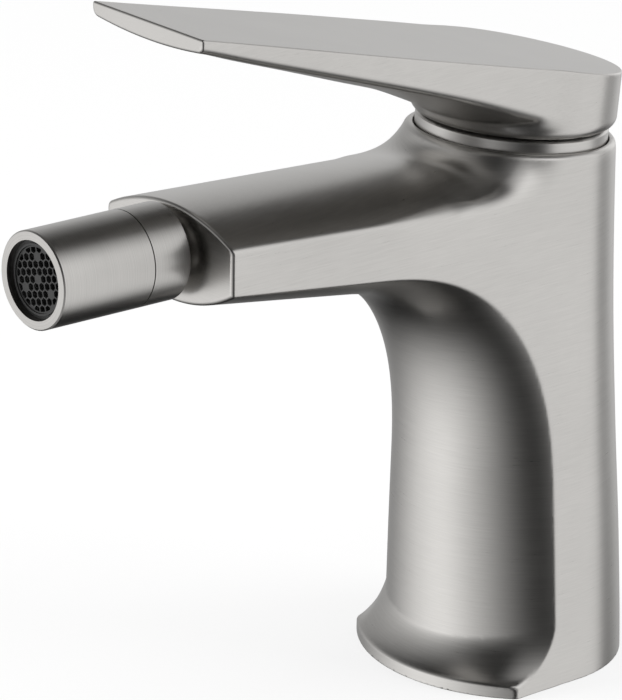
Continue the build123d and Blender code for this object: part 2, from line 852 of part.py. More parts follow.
# Barrel of the nozzle
barrel_back = ring_front + split_gap
ball_room = ball_radius + split_depth
cup_room_radius = cup_radius + slide_gap
mouth_back = nozzle_front - mouth_depth
with BuildPart() as nozzle_barrel:
    revolve(
        profile(
            nozzle_side,
            [
                (cup_room_radius, thread_back + fit_gap),
                (thread_radius - fit_gap, thread_back + fit_gap),
                (thread_radius - fit_gap, ring_front),
                (nozzle_radius - split_depth, ring_front),
                (nozzle_radius - split_depth, barrel_back),
                (nozzle_radius, barrel_back),
                (nozzle_radius, nozzle_front - mouth_chamfer),
                (nozzle_radius - mouth_chamfer, nozzle_front),
                (mouth_radius, nozzle_front),
                (mouth_radius, mouth_back),
                (nozzle_bore_radius, mouth_back),
                (nozzle_bore_radius, ball_room),
                (cup_shoulder_radius, ball_room),
                (cup_shoulder_radius, cup_front + fit_gap),
                (cup_room_radius, cup_front + fit_gap),
            ],
        ),
        axis=nozzle_axis,
    )

# Aerator: washer, inner cage, housing and honeycomb
washer_front = mouth_back + washer_height
housing_front = nozzle_front - aerator_recess
housing_back = housing_front - aerator_length
with BuildPart() as aerator_washer:
    revolve(
        profile(nozzle_side, tube(washer_hole_radius, mouth_radius - fit_gap, mouth_back, washer_front)),
        axis=nozzle_axis,
    )

screen_front = housing_front - screen_recess
screen_back = screen_front - screen_height
with BuildPart() as aerator_housing:
    revolve(
        profile(
            nozzle_side,
            [
                (screen_radius - aerator_wall / 2, housing_back),
                (mouth_radius - fit_gap, housing_back),
                (mouth_radius - fit_gap, housing_front - housing_step),
                (screen_radius + housing_step, housing_front - housing_step),
                (screen_radius + housing_step, housing_front),
                (screen_radius, housing_front),
                (screen_radius, screen_back),
                (screen_radius - aerator_wall / 2, screen_back),
            ],
        ),
        axis=nozzle_axis,
    )

# Flow insert between the washer and the housing
insert_radius = screen_radius - aerator_wall / 2 - fit_gap
with BuildPart() as aerator_insert:
    with BuildSketch(nozzle_face.offset(washer_front)):
        Circle(mouth_radius - aerator_wall / 2)
    extrude(amount=housing_back - washer_front)
    with BuildSketch(nozzle_face.offset(housing_back)):
        Circle(insert_radius)
    extrude(amount=aerator_length / 2)
    with BuildSketch(nozzle_face.offset(washer_front)):
        with PolarLocations(insert_radius / 2, 6):
            Circle(cell_pitch / 2)
    extrude(amount=nozzle_front, mode=Mode.SUBTRACT)

# Honeycomb, with closed cells over the posts behind it
cell_radius = (cell_pitch - cell_wall) / 2
cell_reach = screen_radius - cell_pitch / 3
cells = []
count = int(screen_radius / cell_pitch) + 1
for row in range(-count, count + 1):
    for column in range(-count, count + 1):
        across = cell_pitch * (column + row / 2)
        up = cell_pitch * row * sqrt(3) / 2
        if (column, row) not in closed_cells and hypot(across, up) < cell_reach:
            cells.append((across, up))
with BuildPart() as aerator_screen:
    with BuildSketch(nozzle_face.offset(screen_back)):
        Circle(screen_radius - fit_gap)
    extrude(amount=screen_height)
    with BuildSketch(nozzle_face.offset(screen_back)):
        with Locations(Rotation(0, 0, screen_turn)):
            with Locations(*cells):
                RegularPolygon(cell_radius, 6, major_radius=False, rotation=30)
        Circle(screen_radius - fit_gap - screen_rim, mode=Mode.INTERSECT)
    extrude(amount=screen_height, mode=Mode.SUBTRACT)

nodes = {
    "body_casting": body_casting,
    "base_seal": base_seal,
    "cartridge_housing": cartridge_housing,
    "cartridge_base": cartridge_base,
    "disc_seals": disc_seals,
    "port_seals": port_seals,
    "fixed_disc": fixed_disc,
    "moving_disc": moving_disc,
    "disc_carrier": disc_carrier,
    "cartridge_rotor": cartridge_rotor,
    "fulcrum_pin": fulcrum_pin,
    "lever_stem": lever_stem,
    "retaining_nut": retaining_nut,
    "collar_ring": collar_ring,
    "lever_handle": lever_handle,
    "handle_screw": handle_screw,
    "screw_cover": screw_cover,
    "ball_nipple": ball_nipple,
    "nipple_seal": nipple_seal,
    "ball_liner": ball_liner,
    "ball_ring": ball_ring,
    "seat_cup": seat_cup,
    "nozzle_barrel": nozzle_barrel,
    "aerator_washer": aerator_washer,
    "aerator_housing": aerator_housing,
    "aerator_insert": aerator_insert,
    "aerator_screen": aerator_screen,
}

os.makedirs("parts", exist_ok=True)
for label, node in nodes.items():
    node.part.label = label
    export_step(node.part, f"parts/{label}.step")
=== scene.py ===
import json
from math import cos, radians, sin

import bmesh
import bpy
import numpy as np
from mathutils import Matrix, Vector


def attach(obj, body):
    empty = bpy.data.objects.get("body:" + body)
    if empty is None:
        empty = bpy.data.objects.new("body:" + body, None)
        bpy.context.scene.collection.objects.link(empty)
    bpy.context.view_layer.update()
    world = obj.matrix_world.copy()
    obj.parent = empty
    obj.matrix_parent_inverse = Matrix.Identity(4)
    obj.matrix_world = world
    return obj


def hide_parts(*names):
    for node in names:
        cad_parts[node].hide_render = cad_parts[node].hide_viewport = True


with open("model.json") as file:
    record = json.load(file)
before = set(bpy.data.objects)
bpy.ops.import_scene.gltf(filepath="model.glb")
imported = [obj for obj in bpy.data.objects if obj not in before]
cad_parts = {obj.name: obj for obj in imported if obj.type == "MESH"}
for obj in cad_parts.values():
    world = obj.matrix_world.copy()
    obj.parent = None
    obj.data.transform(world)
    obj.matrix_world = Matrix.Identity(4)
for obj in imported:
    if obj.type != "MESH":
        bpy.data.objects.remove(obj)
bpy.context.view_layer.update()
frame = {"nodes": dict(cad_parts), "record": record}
nodes = frame["nodes"]

# All shapes are worked out in millimetres and written to the meshes in metres
MM = 0.001

# Camera, worked out from the circles and edges of the photo; its clip distances are in metres
CAMERA_AZIMUTH = 48.77
CAMERA_ELEVATION = 20.5
CAMERA_ROLL = 0.66
CAMERA_ACROSS = 44.24
CAMERA_UP = -68.51
CAMERA_DISTANCE = 1372.38
FOCAL_PIXELS = 5824.51
IMAGE_HEIGHT_PIXELS = 700
SENSOR = 36.0
CLIP_START = 0.05
CLIP_END = 20.0

# Body: column, spout and head
REACH = 101.3
SPOUT_NARROWING = 2.6
RIM_HEIGHT = 127.16
HEAD_LEAN = 6.08
RIM_RADIUS = 24.15
FLARE_RUN = 12.25
FLARE_DROP = 9.3
FLARE_TAIL = 0.09
BASE_HALF_WIDTH = 28.4
HEAD_HALF_WIDTH = 24.05
SIDE_TOP = 140.0
SIDE_TAPER_SHARES = (1.0, 0.77, 0.41, 0.12, 0.0, 0.0)
COLUMN_EDGE_Y = 8.0
COLUMN_BULGE = 17.5
SPOUT_EDGE_LOW = 115.3
SPOUT_BELLY = 6.3
BELLY_LIMIT_SHARES = (-1, 2)
ELBOW_EDGE_LOW = 109.8
ELBOW_BELLY = 7.9
ELBOW_START = 60.0
ELBOW_LOW = 46.0
ELBOW_EDGE_LIFT = 7.0
ELBOW_CROWN_LIFT = 7.5
ELBOW_POWER = 2.56
SPOUT_EDGE_TOP = 125.8
SPOUT_ARCH = 5.6
SPOUT_RISE = 0.0797
LIP_HEIGHT = 3.2
LIP_EDGE_Y = 19.6
LIP_BULGE = 11.6
FOOT_EDGE_RISE = 12.3
FOOT_CENTRE_RISE = 7.8
FOOT_EDGE_POWER = 1.7
FOOT_CENTRE_POWER = 1.4
FOOT_EDGE_SHARE = 0.5

# Roundings of the body's edges, and the places where one changes into another
UNDER_SPOUT_ROUNDING = 1.0
COLUMN_ROUNDING = 3.2
COLUMN_ROUNDING_START = 30.0
FOOT_ROUNDING = 1.6
FOOT_ROUNDING_END = 3.0
SHOULDER_SOFTNESS = 1.0
NECK_SOFTNESS = 4.6
NECK_START = -62.0
NECK_FULL = -34.0
NECK_FADE = -14.0
NECK_END = -3.0
FLARE_SOFTNESS = 3.0
RIM_ROUNDING = 1.1
END_ROUNDING = 0.9
LIP_ROUNDING = 0.6
SOLE_ROUNDING = 0.3
HOLLOW_ROUNDING = 0.35

# Hollows of the body
COLLAR_SEAT_RADIUS = 22.5
COLLAR_SEAT_DEPTH = 2.0
NUT_THREAD_RADIUS = 20.0
SHOULDER_DEPTH = 8.0
CHAMBER_RADIUS = 17.55
CHAMBER_DEPTH = 34.0
RECESS_RADIUS = 20.0
RECESS_DEPTH = 26.0
STUD_BOSS_RADIUS = 6.5
STUD_HOLE_RADIUS = 3.4
STUD_HOLE_DEPTH = 16.0
INLET_RADIUS = 4.5
INLET_DEPTH = 12.0
INLET_SIDE = 13.0
NIPPLE_THREAD_RADIUS = 6.6
NIPPLE_THREAD_LENGTH = 9.0

# Lever handle
HANDLE_GAP = 3.0
HUB_RADIUS = 23.7
HUB_ROUND = 2.7
HUB_TOP_RADIUS = 22.9
HUB_TOP_BACK = 1.3
HUB_HEIGHT = 24.0
HUB_FILLET = 2.0
HANDLE_REACH = 107.6
HANDLE_TOP_HEIGHT = 146.15
HANDLE_SLOPE = 0.2585
TIP_HALF_WIDTH = 18.6
BLADE_HALF_WIDTH = 22.5
TIP_SIDE = 3.1
HUB_SIDE = 13.8
BLADE_BULGE = 7.2
UNDER_STEEPNESS = 1.08
WIDTH_SHARES = (0.82, 1.0, 0.95, 0.88, 0.67, 0.41, 0.14, 0.0)
SIDE_SHARES = (1.0, 0.766, 0.575, 0.439, 0.327, 0.224, 0.121, 0.0)
BULGE_SHARES = (0.7, 1.0, 0.72, 0.47, 0.4, 0.32, 0.25, 0.18)
HANDLE_CAVITY_RADIUS = 22.0
HANDLE_CAVITY_TOP = 11.0
RELIEF_START = 15.5
RELIEF_ANGLE = 12.0
TOP_EDGE_ROUNDING = 0.5
LOW_EDGE_ROUNDING = 1.6
TIP_ROUNDING = 0.6
BLADE_END_ROUNDING = 0.3
SKIRT_ROUNDING = 0.5
RELIEF_ROUNDING = 0.3

# Nozzle's axis, from the centre of the ball
NOZZLE_RISE = 1.66
BALL_HEIGHT = 121.04
BALL_AHEAD = 6.5

# Meshes: cells of the first net, room round it, and how its points move onto the surface
BODY_CELL = 0.9
BODY_SPLITS = 3
BODY_ROOM = 1.0
HANDLE_CELL = 0.8
HANDLE_SPLITS = 2
HANDLE_ROOM = 2.0
MARGIN_CELLS = 2
CELL_CORNERS = [(i, j, k) for i in (0, 1) for j in (0, 1) for k in (0, 1)]
GRADIENT_STEP = 0.02
LEAST_SQUARED_SLOPE = 0.05
LONGEST_STEP = 1.0
FIRST_ROUNDS = 4
EVENED_ROUNDS = 3
SPLIT_ROUNDS = 2
SPLIT_TURN = 0.985
EVEN_SHARE = 0.5

# Limits that keep the formulas of slopes, arcs and rounded edges steady
LEAST_SLOPE = 0.2
ARC_END_SHARE = 0.05
MOST_COSINE = 0.98

# Brushed metal: lines per metre, how its colour, roughness and surface vary with them
METAL = (0.545, 0.533, 0.515)
PLATED = (0.6, 0.58, 0.55)
BRASS = (0.7, 0.55, 0.3)
STEEL = (0.55, 0.55, 0.56)
LINES_ACROSS = 4000.0
LINES_ALONG = 110.0
LINE_DETAIL = 3.0
LINE_GRAIN_SHARE = 0.7
CLOUDS = 28.0
CLOUD_DETAIL = 4.0
CLOUD_GRAIN_SHARE = 0.6
CLOUD_SHARE = 0.35
DARK_SHARE = 0.84
NOZZLE_DARK_SHARE = 0.66
RAMP_SHARES = (0.3, 0.7)
BRUSHED_ROUGHNESS = 0.3
POLISHED_ROUGHNESS = 0.22
ROUGHNESS_SPREAD = 0.06
LINE_BUMP_SHARE = 0.12
BUMP_DEPTH = 0.00003

# Moulded and fired materials: colour, roughness and grains per metre
MOULDED = {
    "black_plastic": ((0.02, 0.02, 0.02), 0.45, 900.0),
    "white_plastic": ((0.8, 0.8, 0.78), 0.4, 900.0),
    "grey_plastic": ((0.35, 0.35, 0.36), 0.45, 900.0),
    "black_rubber": ((0.03, 0.03, 0.03), 0.75, 1600.0),
    "disc_ceramic": ((0.88, 0.87, 0.84), 0.2, 2600.0),
}
MOULDED_DARK_SHARE = 0.82
MOULDED_SPREAD = 0.05
MOULDED_BUMP_SHARE = 0.15

# Studio, in metres
FLOOR_HALF = 6.0
FLOOR_SHADE = 0.86
FLOOR_ROUGHNESS = 0.8
FLOOR_GLOSS = 0.1
FLOOR_WHITE_SHARE = 0.75
WORLD_LIGHT = 0.55
LIGHT_AIM = 0.09
# Azimuth, elevation, distance, width, height and power in watts
SOFTBOXES = {
    "left_softbox": (-41, 25, 1.6, 0.9, 1.2, 14),
    "right_softbox": (131, 25, 1.6, 0.9, 1.2, 14),
    "top_softbox": (0, 85, 1.8, 1.2, 1.2, 10),
}

# Light tent that only reflections show
TENT_RADIUS = 3.0
TENT_STEP = 3
TENT_DARK = 0.02
# Azimuth, half width, elevation, half height, strength
TENT_LOBES = (
    (-19, 90, -27, 60, 1.25),
    (-142, 50, 2, 42, 0.38),
    (90, 46, 46, 46, 0.85),
)
# Azimuth, half width, softness, lowest and highest elevation, softness, strength
TENT_BANDS = (
    (-90, 85, 40, -30, 38, 40, 0.45),
    (126, 32, 12, -52, 46, 34, 1.1),
    (180, 26, 18, -18, 42, 30, 0.72),
)

# Places and directions of the head and the nozzle
lean = radians(HEAD_LEAN)
head_centre = np.array([0, 0, RIM_HEIGHT])
head_up = np.array([0, sin(lean), cos(lean)])
head_back = np.array([0, cos(lean), -sin(lean)])
rise = radians(NOZZLE_RISE)
nozzle_out = np.array([0, -cos(rise), sin(rise)])
ball_centre = np.array([0, -REACH - BALL_AHEAD, BALL_HEIGHT])


def smooth_table(values, share):
    """A smooth curve through evenly spaced values, at shares from 0 to 1 of its length."""
    table = np.array(values, float)
    place = np.clip(share, 0, 1) * (len(table) - 1)
    step = np.minimum(place.astype(int), len(table) - 2)
    along = place - step
    before = table[np.maximum(step - 1, 0)]
    low = table[step]
    high = table[step + 1]
    after = table[np.minimum(step + 2, len(table) - 1)]
    slope_low = (high - before) / 2
    slope_high = (after - low) / 2
    return (
        low * (1 + 2 * along) * (1 - along) ** 2
        + slope_low * along * (1 - along) ** 2
        + high * along**2 * (3 - 2 * along)
        + slope_high * along**2 * (along - 1)
    )


def ease(value, start, end):
    """0 before start, 1 after end, and smooth between them."""
    share = np.clip((value - start) / (end - start), 0, 1)
    return share * share * (3 - 2 * share)


def both(a, b, radius):
    """What two solids have in common, with a round edge."""
    u = np.maximum(a + radius, 0)
    v = np.maximum(b + radius, 0)
    return np.minimum(-radius, np.maximum(a, b)) + np.hypot(u, v)


def either(a, b, radius):
    """Two solids joined, with a round inner corner."""
    u = np.maximum(radius - a, 0)
    v = np.maximum(radius - b, 0)
    return np.maximum(radius, np.minimum(a, b)) - np.hypot(u, v)


def hugging(a, b, radius_a, radius_b, power):
    """Two solids joined by an inner corner that can be longer along one of them, and tighter than an arc."""
    u = np.maximum(1 - a / radius_a, 0)
    v = np.maximum(1 - b / radius_b, 0)
    joined = np.maximum(1, np.minimum(a / radius_a, b / radius_b)) - (u**power + v**power) ** (1 / power)
    return joined * np.minimum(radius_a, radius_b)


def rounded(a, b, cosine, radius):
    """What two solids have in common, with an arc of this radius wherever their surfaces meet."""
    u = a + radius
    v = b + radius
    on_arc = (u > cosine * v) & (v > cosine * u)
    arc = np.sqrt(np.maximum(u**2 + v**2 - 2 * cosine * u * v, 0) / (1 - cosine**2)) - radius
    return np.where(on_arc, arc, np.maximum(a, b))


def softened(a, b, depth):
    """What two solids have in common, with a broad soft edge, widest where they are nearly in line."""
    near = np.maximum(depth - np.abs(a - b), 0) / depth
    return np.maximum(a, b) + near**2 * depth / 4


def arc_height(across, half, bulge):
    """The height over its chord of an arc that bulges between -half and half."""
    radius = (half**2 + bulge**2) / (2 * bulge)
    inside = np.maximum(radius**2 - across**2, (radius * ARC_END_SHARE) ** 2)
    return np.sqrt(inside) - (radius - bulge)


def growing(field, x, y, z):
    """A field's value, and how much it grows over a small step along each axis."""
    value = field(x, y, z)
    steps = np.eye(3) * GRADIENT_STEP
    return value, np.stack([field(x + dx, y + dy, z + dz) - value for dx, dy, dz in steps])


def sloped(field, x, y, z):
    """The distance to the surface of a field near it, and the field's direction."""
    value, growth = growing(field, x, y, z)
    size = np.sqrt((growth**2).sum(0))
    even = np.maximum(size / GRADIENT_STEP, LEAST_SLOPE)
    return value / even, growth / np.maximum(size, GRADIENT_STEP**3)


def column_half(z):
    """Half the column's width at a height."""
    widths = [HEAD_HALF_WIDTH + share * (BASE_HALF_WIDTH - HEAD_HALF_WIDTH) for share in SIDE_TAPER_SHARES]
    return smooth_table(widths, z / SIDE_TOP)


def body_half(y, z):
    """Half the body's width, which shrinks along the spout."""
    return column_half(z) - SPOUT_NARROWING * np.maximum(-y, 0) / REACH


def in_head(x, y, z):
    """Radius from the head's axis, place across it to the back, and height over the rim."""
    back = y * head_back[1] + (z - RIM_HEIGHT) * head_back[2]
    up = y * head_up[1] + (z - RIM_HEIGHT) * head_up[2]
    return np.hypot(x, back), back, up


def in_foot(z):
    """True below the middle between the foot's flare and the elbow."""
    return z < (ELBOW_LOW + FOOT_EDGE_RISE) / 2


def side_field(x, y, z):
    """The flat sides and the round back."""
    flat = np.abs(x) - body_half(y, z)
    round_back = np.hypot(x, y) - column_half(z)
    return np.where(y < 0, flat, round_back)


def front_field(x, y, z):
    """The bulging front: the underside of the spout, the column and the flared foot."""
    half = body_half(y, z)
    forward = -y
    crown = arc_height(x, half, COLUMN_BULGE) / COLUMN_BULGE
    column = forward - COLUMN_EDGE_Y - COLUMN_BULGE * crown
    spout_share = (forward - ELBOW_START) / (REACH - ELBOW_START)
    edge_low = ELBOW_EDGE_LOW + (SPOUT_EDGE_LOW - ELBOW_EDGE_LOW) * spout_share
    belly = ELBOW_BELLY + (SPOUT_BELLY - ELBOW_BELLY) * np.clip(spout_share, *BELLY_LIMIT_SHARES)
    under = edge_low - arc_height(x, half, belly) - z
    share = np.clip(crown, -1, 1)
    reach_along = ELBOW_START - COLUMN_EDGE_Y - COLUMN_BULGE * share
    drop_along = ELBOW_EDGE_LOW - ELBOW_LOW - ELBOW_EDGE_LIFT - ELBOW_CROWN_LIFT * share
    elbow = hugging(column, under, reach_along, drop_along, ELBOW_POWER)
    foot_run = (LIP_EDGE_Y - COLUMN_EDGE_Y) + (LIP_BULGE - COLUMN_BULGE) * share
    foot_rise = FOOT_EDGE_RISE + (FOOT_CENTRE_RISE - FOOT_EDGE_RISE) * share
    foot_power = FOOT_EDGE_POWER + (FOOT_CENTRE_POWER - FOOT_EDGE_POWER) * ease(crown, 0, FOOT_EDGE_SHARE)
    foot = hugging(column, z - LIP_HEIGHT, foot_run, foot_rise, foot_power)
    return np.where(in_foot(z), foot, elbow)


def lip_field(x, y, z):
    """The rounded front of the foot."""
    front = -y - LIP_EDGE_Y - arc_height(x, column_half(z), LIP_BULGE)
    return np.where(in_foot(z), front, -BASE_HALF_WIDTH)


def top_field(x, y, z):
    """The arched top of the spout, joined to the flared head under its rim."""
    half = body_half(y, z)
    arch = z - SPOUT_EDGE_TOP + SPOUT_RISE * (REACH + y) - arc_height(x, half, SPOUT_ARCH)
    radius, _, up = in_head(x, y, z)
    flare_radius = (FLARE_RUN**2 + FLARE_DROP**2) / (2 * FLARE_DROP)
    centre_out = RIM_RADIUS + FLARE_RUN
    centre_up = flare_radius - FLARE_DROP
    hollow = flare_radius - np.hypot(radius - centre_out, up - centre_up)
    tail = up + FLARE_DROP + FLARE_TAIL * (radius - centre_out) ** 2
    head = np.where(radius > centre_out, tail, hollow)
    head = np.where(up > centre_up, radius - RIM_RADIUS, head)
    return -softened(-arch, -head, FLARE_SOFTNESS)


def body_hollows(x, y, z):
    """The stepped bore of the head, the recess and holes under the foot, and the spout's thread."""
    radius, _, up = in_head(x, y, z)
    seat = np.maximum(radius - COLLAR_SEAT_RADIUS, -COLLAR_SEAT_DEPTH - up)
    nut_room = np.maximum(radius - NUT_THREAD_RADIUS, -SHOULDER_DEPTH - up)
    chamber = np.maximum(radius - CHAMBER_RADIUS, -CHAMBER_DEPTH - up)
    from_axis = np.hypot(x, y)
    recess_ring = np.maximum(from_axis - RECESS_RADIUS, STUD_BOSS_RADIUS - from_axis)
    recess = np.maximum(recess_ring, z - RECESS_DEPTH)
    stud = np.maximum(from_axis - STUD_HOLE_RADIUS, z - STUD_HOLE_DEPTH)
    inlets = np.maximum(
        np.hypot(np.abs(x) - INLET_SIDE, y) - INLET_RADIUS,
        np.maximum(z - RECESS_DEPTH - INLET_DEPTH, RECESS_DEPTH / 2 - z),
    )
    socket = np.maximum(
        np.hypot(x, z - BALL_HEIGHT) - NIPPLE_THREAD_RADIUS,
        REACH - NIPPLE_THREAD_LENGTH + y,
    )
    return seat, nut_room, chamber, recess, stud, inlets, socket


def body_field(x, y, z):
    """The body's casting, with softer edges at the neck and tighter ones under the spout."""
    side, side_way = sloped(side_field, x, y, z)
    front, front_way = sloped(front_field, x, y, z)
    elbow = ease(z, ELBOW_LOW, ELBOW_EDGE_LOW) * ease(-y, COLUMN_EDGE_Y, ELBOW_START)
    rounding = COLUMN_ROUNDING + (UNDER_SPOUT_ROUNDING - COLUMN_ROUNDING) * elbow
    over_foot = ease(z, FOOT_ROUNDING_END, COLUMN_ROUNDING_START)
    rounding = FOOT_ROUNDING + (rounding - FOOT_ROUNDING) * over_foot
    cosine = np.clip((side_way * front_way).sum(0), -MOST_COSINE, MOST_COSINE)
    below = rounded(side, front, cosine, rounding)
    near_head = ease(y, NECK_START, NECK_FULL) * (1 - ease(y, NECK_FADE, NECK_END))
    softness = SHOULDER_SOFTNESS + (NECK_SOFTNESS - SHOULDER_SOFTNESS) * near_head
    above = softened(side_field(x, y, z), top_field(x, y, z), softness)
    solid = np.maximum(below, above)
    solid = both(solid, sloped(lip_field, x, y, z)[0], LIP_ROUNDING)
    solid = both(solid, -y - REACH, END_ROUNDING)
    solid = both(solid, -z, SOLE_ROUNDING)
    _, _, over_rim = in_head(x, y, z)
    solid = both(solid, over_rim, RIM_ROUNDING)
    for hollow in body_hollows(x, y, z):
        solid = both(solid, -hollow, HOLLOW_ROUNDING)
    return solid


def blade_field(x, y, z, top_height):
    """The sides and the bulging underside of the blade, in front of the hub's axis."""
    share = -y / HANDLE_REACH
    half = TIP_HALF_WIDTH + (BLADE_HALF_WIDTH - TIP_HALF_WIDTH) * smooth_table(WIDTH_SHARES, share)
    side_height = TIP_SIDE + (HUB_SIDE - TIP_SIDE) * smooth_table(SIDE_SHARES, share)
    bulge = BLADE_BULGE * smooth_table(BULGE_SHARES, share)
    under = (top_height - side_height - arc_height(x, half, bulge) - z) / UNDER_STEEPNESS
    return both(both(np.abs(x) - half, under, LOW_EDGE_ROUNDING), y, BLADE_END_ROUNDING)


def hub_field(x, back, up):
    """The hub, which leans back and narrows upwards, with a round lower edge."""
    climb = np.clip((up - HANDLE_GAP - HUB_ROUND) / (HUB_HEIGHT - HANDLE_GAP - HUB_ROUND), 0, 1)
    hub_radius = HUB_RADIUS + (HUB_TOP_RADIUS - HUB_RADIUS) * climb
    hub = np.hypot(x, back - HUB_TOP_BACK * climb) - hub_radius
    return both(hub, HANDLE_GAP - up, HUB_ROUND)


def handle_field(x, y, z):
    """The handle, hollow in its hub, with its skirt cut up at the back for the lever's lift."""
    radius, back, up = in_head(x, y, z)
    top_height = HANDLE_TOP_HEIGHT - HANDLE_SLOPE * y
    solid = either(blade_field(x, y, z, top_height), hub_field(x, back, up), HUB_FILLET)
    solid = both(solid, HANDLE_GAP - up, SKIRT_ROUNDING)
    solid = both(solid, (z - top_height) / np.sqrt(1 + HANDLE_SLOPE**2), TOP_EDGE_ROUNDING)
    solid = both(solid, -y - HANDLE_REACH, TIP_ROUNDING)
    cavity = np.maximum(radius - HANDLE_CAVITY_RADIUS, up - HANDLE_CAVITY_TOP)
    solid = both(solid, -cavity, HOLLOW_ROUNDING)
    turn = radians(RELIEF_ANGLE)
    relief = (up - HANDLE_GAP) * cos(turn) - (back - RELIEF_START) * sin(turn)
    return both(solid, -relief, RELIEF_ROUNDING)


def gradient(field, points):
    """A field's value and slopes at points, one row each."""
    value, growth = growing(field, *points.T)
    return value, np.ascontiguousarray(growth.T) / GRADIENT_STEP


def directions(field, points):
    """The field's own normals at points."""
    _, slopes = gradient(field, points)
    return slopes / np.linalg.norm(slopes, axis=1)[:, None]


def settled(field, points, rounds):
    """Points moved onto the surface of a field."""
    for _ in range(rounds):
        value, slopes = gradient(field, points)
        size = np.maximum((slopes**2).sum(1), LEAST_SQUARED_SLOPE)
        step = np.clip(value / size, -LONGEST_STEP, LONGEST_STEP)
        points = points - slopes * step[:, None]
    return points


def evened(field, points, mesh):
    """Points drawn along the surface towards the middle of their neighbours."""
    ends = np.empty(len(mesh.edges) * 2, int)
    mesh.edges.foreach_get("vertices", ends)
    ends = ends.reshape(-1, 2)
    total = np.zeros_like(points)
    count = np.zeros(len(points))
    for here, there in ((0, 1), (1, 0)):
        np.add.at(total, ends[:, here], points[ends[:, there]])
        np.add.at(count, ends[:, here], 1)
    pull = total / count[:, None] - points
    normals = directions(field, points)
    pull -= normals * (pull * normals).sum(1)[:, None]
    return points + pull * EVEN_SHARE


def grid_values(field, axes):
    """A field's values on a grid, one slice after the other."""
    values = np.empty([len(axis) for axis in axes])
    y, z = np.meshgrid(axes[1], axes[2], indexing="ij")
    for place, x in enumerate(axes[0]):
        values[place] = field(np.full_like(y, x), y, z)
    return values


def net_points(values, active):
    """For each active cell, the middle of the places where its edges cross the zero level."""
    cells = active.shape

    def corner(offset):
        return values[tuple(slice(o, o + n) for o, n in zip(offset, cells))][active]

    base = np.argwhere(active)
    total = np.zeros((len(base), 3))
    hits = np.zeros(len(base))
    for start in CELL_CORNERS:
        for axis in range(3):
            if start[axis]:
                continue
            end = tuple(1 if a == axis else s for a, s in enumerate(start))
            first = corner(start)
            second = corner(end)
            crossing = (first < 0) != (second < 0)
            share = np.where(crossing, first / np.where(crossing, first - second, 1), 0)
            point = np.array(start, float) + np.outer(share, np.eye(3)[axis])
            total += point * crossing[:, None]
            hits += crossing
    return base + total / hits[:, None]


def net_faces(inside, number):
    """A four-sided face round each edge of the grid that crosses the zero level."""
    faces = []
    for axis in range(3):
        others = [a for a in range(3) if a != axis]
        ahead = np.take(inside, range(1, inside.shape[axis]), axis)
        behind = np.take(inside, range(inside.shape[axis] - 1), axis)
        edges = np.argwhere(ahead != behind)
        edges = edges[(edges[:, others[0]] > 0) & (edges[:, others[1]] > 0)]
        steps = np.zeros((4, 3), int)
        steps[1, others[0]] = 1
        steps[2, others] = 1
        steps[3, others[1]] = 1
        quads = np.stack([number[tuple((edges - step).T)] for step in steps], 1)
        flip = inside[tuple(edges.T)] == (axis == 1)
        quads[flip] = quads[flip][:, ::-1]
        faces.append(quads)
    return np.concatenate(faces)


def surface_net(field, low, high, cell):
    """Points and four-sided faces round the zero level of a field."""
    before = MARGIN_CELLS * cell
    beyond = (MARGIN_CELLS + 1) * cell
    axes = [np.arange(start - before, end + beyond, cell) for start, end in zip(low, high)]
    values = grid_values(field, axes)
    inside = values < 0
    cells = [length - 1 for length in inside.shape]
    slices = [tuple(slice(o, o + n) for o, n in zip(offset, cells)) for offset in CELL_CORNERS]
    count = sum(inside[part].astype(int) for part in slices)
    active = (count > 0) & (count < len(CELL_CORNERS))
    number = np.full(cells, -1)
    number[active] = np.arange(active.sum())
    points = net_points(values, active) * cell + np.array([axis[0] for axis in axes])
    return points, net_faces(inside, number)


def split_where_turning(mesh, normals):
    """Halve the edges along which the surface turns quickly."""
    form = bmesh.new()
    form.from_mesh(mesh)
    ends = np.array([[vertex.index for vertex in edge.verts] for edge in form.edges])
    turning = (normals[ends[:, 0]] * normals[ends[:, 1]]).sum(1) < SPLIT_TURN
    form.edges.ensure_lookup_table()
    chosen = [form.edges[place] for place in np.nonzero(turning)[0]]
    bmesh.ops.subdivide_edges(form, edges=chosen, cuts=1, use_grid_fill=True)
    form.to_mesh(mesh)
    form.free()


def link(thing):
    """Put an object into the scene."""
    bpy.context.scene.collection.objects.link(thing)


def mesh_of(name, field, low, high, cell, splits):
    """A mesh on the surface of a field, finer where it turns quickly, with the field's own normals."""
    points, faces = surface_net(field, low, high, cell)
    points = settled(field, points, FIRST_ROUNDS)
    mesh = bpy.data.meshes.new(name)
    mesh.from_pydata(points * MM, [], faces.tolist())
    points = settled(field, evened(field, points, mesh), EVENED_ROUNDS)
    mesh.vertices.foreach_set("co", (points * MM).ravel())
    for _ in range(splits):
        split_where_turning(mesh, directions(field, points))
        points = np.empty(len(mesh.vertices) * 3)
        mesh.vertices.foreach_get("co", points)
        points = settled(field, points.reshape(-1, 3) / MM, SPLIT_ROUNDS)
        points = settled(field, evened(field, points, mesh), SPLIT_ROUNDS)
        mesh.vertices.foreach_set("co", (points * MM).ravel())
    mesh.polygons.foreach_set("use_smooth", [True] * len(mesh.polygons))
    mesh.update()
    mesh.normals_split_custom_set_from_vertices(directions(field, points))
    piece = bpy.data.objects.new(name, mesh)
    link(piece)
    return piece


